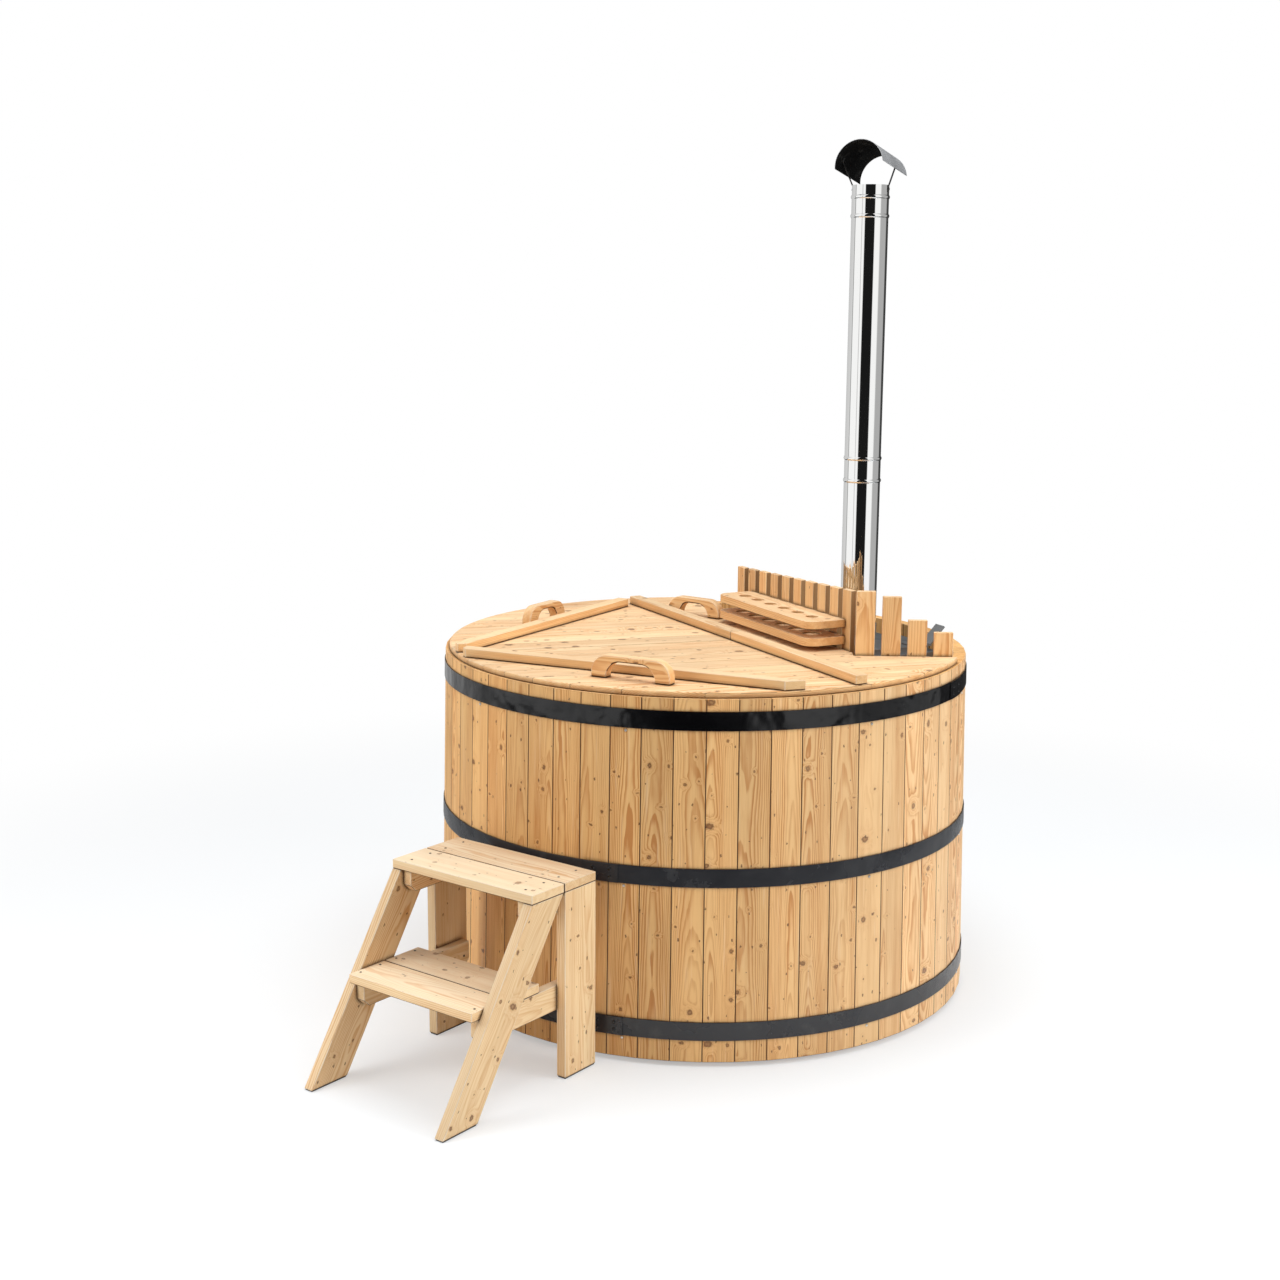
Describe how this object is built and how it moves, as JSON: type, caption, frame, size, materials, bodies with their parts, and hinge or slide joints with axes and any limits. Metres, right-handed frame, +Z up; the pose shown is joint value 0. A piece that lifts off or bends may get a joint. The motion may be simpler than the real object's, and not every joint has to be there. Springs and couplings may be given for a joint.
{
  "type": "wood-fired stave hot tub with an inside stove",
  "caption": "Round wooden hot tub of planed pine staves with black steel hoops, a boarded lid in halves, an inside wood stove behind a slatted fence, a steel chimney and a step stool",
  "frame": {"origin": "on the tub's axis, on the ground", "axes": "+Z up, -Y the front with the front lid handle, +X the side of the stove and the chimney"},
  "size_m": [2.0862, 2.3754, 2.8507],
  "materials": {
    "pine": "planed knotty pine, unpainted",
    "pine_inside": "planed pine inside the tub",
    "steel_black": "black gloss paint",
    "stove_steel": "grey steel plate, matt",
    "stainless": "bright stainless, heat-tinted low down",
    "cap_steel": "dark steel sheet, satin",
    "drain_steel": "brushed",
    "rubber": "black rubber"
  },
  "bodies": {
    "tub": {"staves": "pine", "floor_boards": "pine_inside", "floor_bearers": "pine_inside", "hoop_bottom": "steel_black", "hoop_middle": "steel_black", "hoop_top": "steel_black", "hoop_rivets": "steel_black", "hoop_screws": "steel_black", "bench_boards": "pine_inside", "bench_supports": "pine_inside", "drain_fitting": "drain_steel", "stove_body": "stove_steel", "stove_skids": "stove_steel", "hatch_hinge_pin": "stove_steel", "flue_collar": "stove_steel", "chimney_lower": "stainless", "chimney_upper": "stainless", "cap_collar": "stainless", "rain_cap": "cap_steel", "cap_straps": "cap_steel", "cap_rivets": "cap_steel", "fence_side_slats": "pine", "fence_front_slats": "pine", "fence_side_rails": "pine_inside", "fence_front_rails": "pine_inside", "fence_post": "pine_inside", "cup_shelf_upper": "pine", "cup_shelf_lower": "pine"},
    "lid_front": {"lid_front_boards": "pine", "lid_front_battens": "pine", "lid_front_handle": "pine"},
    "lid_back": {"lid_back_boards": "pine", "lid_back_battens": "pine", "lid_back_handles": "pine"},
    "hatch": {"fuel_hatch": "stove_steel", "hatch_handle": "stove_steel"},
    "plug": {"drain_plug": "rubber"},
    "stool": {"stool_left_leg": "pine", "stool_right_leg": "pine", "stool_back_left_leg": "pine", "stool_back_right_leg": "pine", "stool_top_tread": "pine", "stool_lower_tread": "pine", "stool_top_cleats": "pine", "stool_rails": "pine", "stool_screws": "steel_black", "stool_pads": "rubber"}
  },
  "joints": [
    {"name": "lid_front_lift", "type": "slide", "parent": "tub", "child": "lid_front", "axis": [0, -0.9998, 0.02], "range_m": [0, 0.45]},
    {"name": "lid_back_lift", "type": "slide", "parent": "tub", "child": "lid_back", "axis": [-0.9509, 0.309, 0.02], "range_m": [0, 0.45]},
    {"name": "hatch_hinge", "type": "hinge", "parent": "tub", "child": "hatch", "pos_m": [0.50579, 0.0182, 1.1523], "axis": [0.4648, -0.8854, 0], "range_deg": [0, 95]},
    {"name": "plug_pull", "type": "slide", "parent": "tub", "child": "plug", "axis": [0, 0, 1], "range_m": [0, 0.06]},
    {"name": "stool_move", "type": "slide", "parent": "tub", "child": "stool", "axis": [-0.592, -0.806, 0], "range_m": [0, 0.6]}
  ]
}
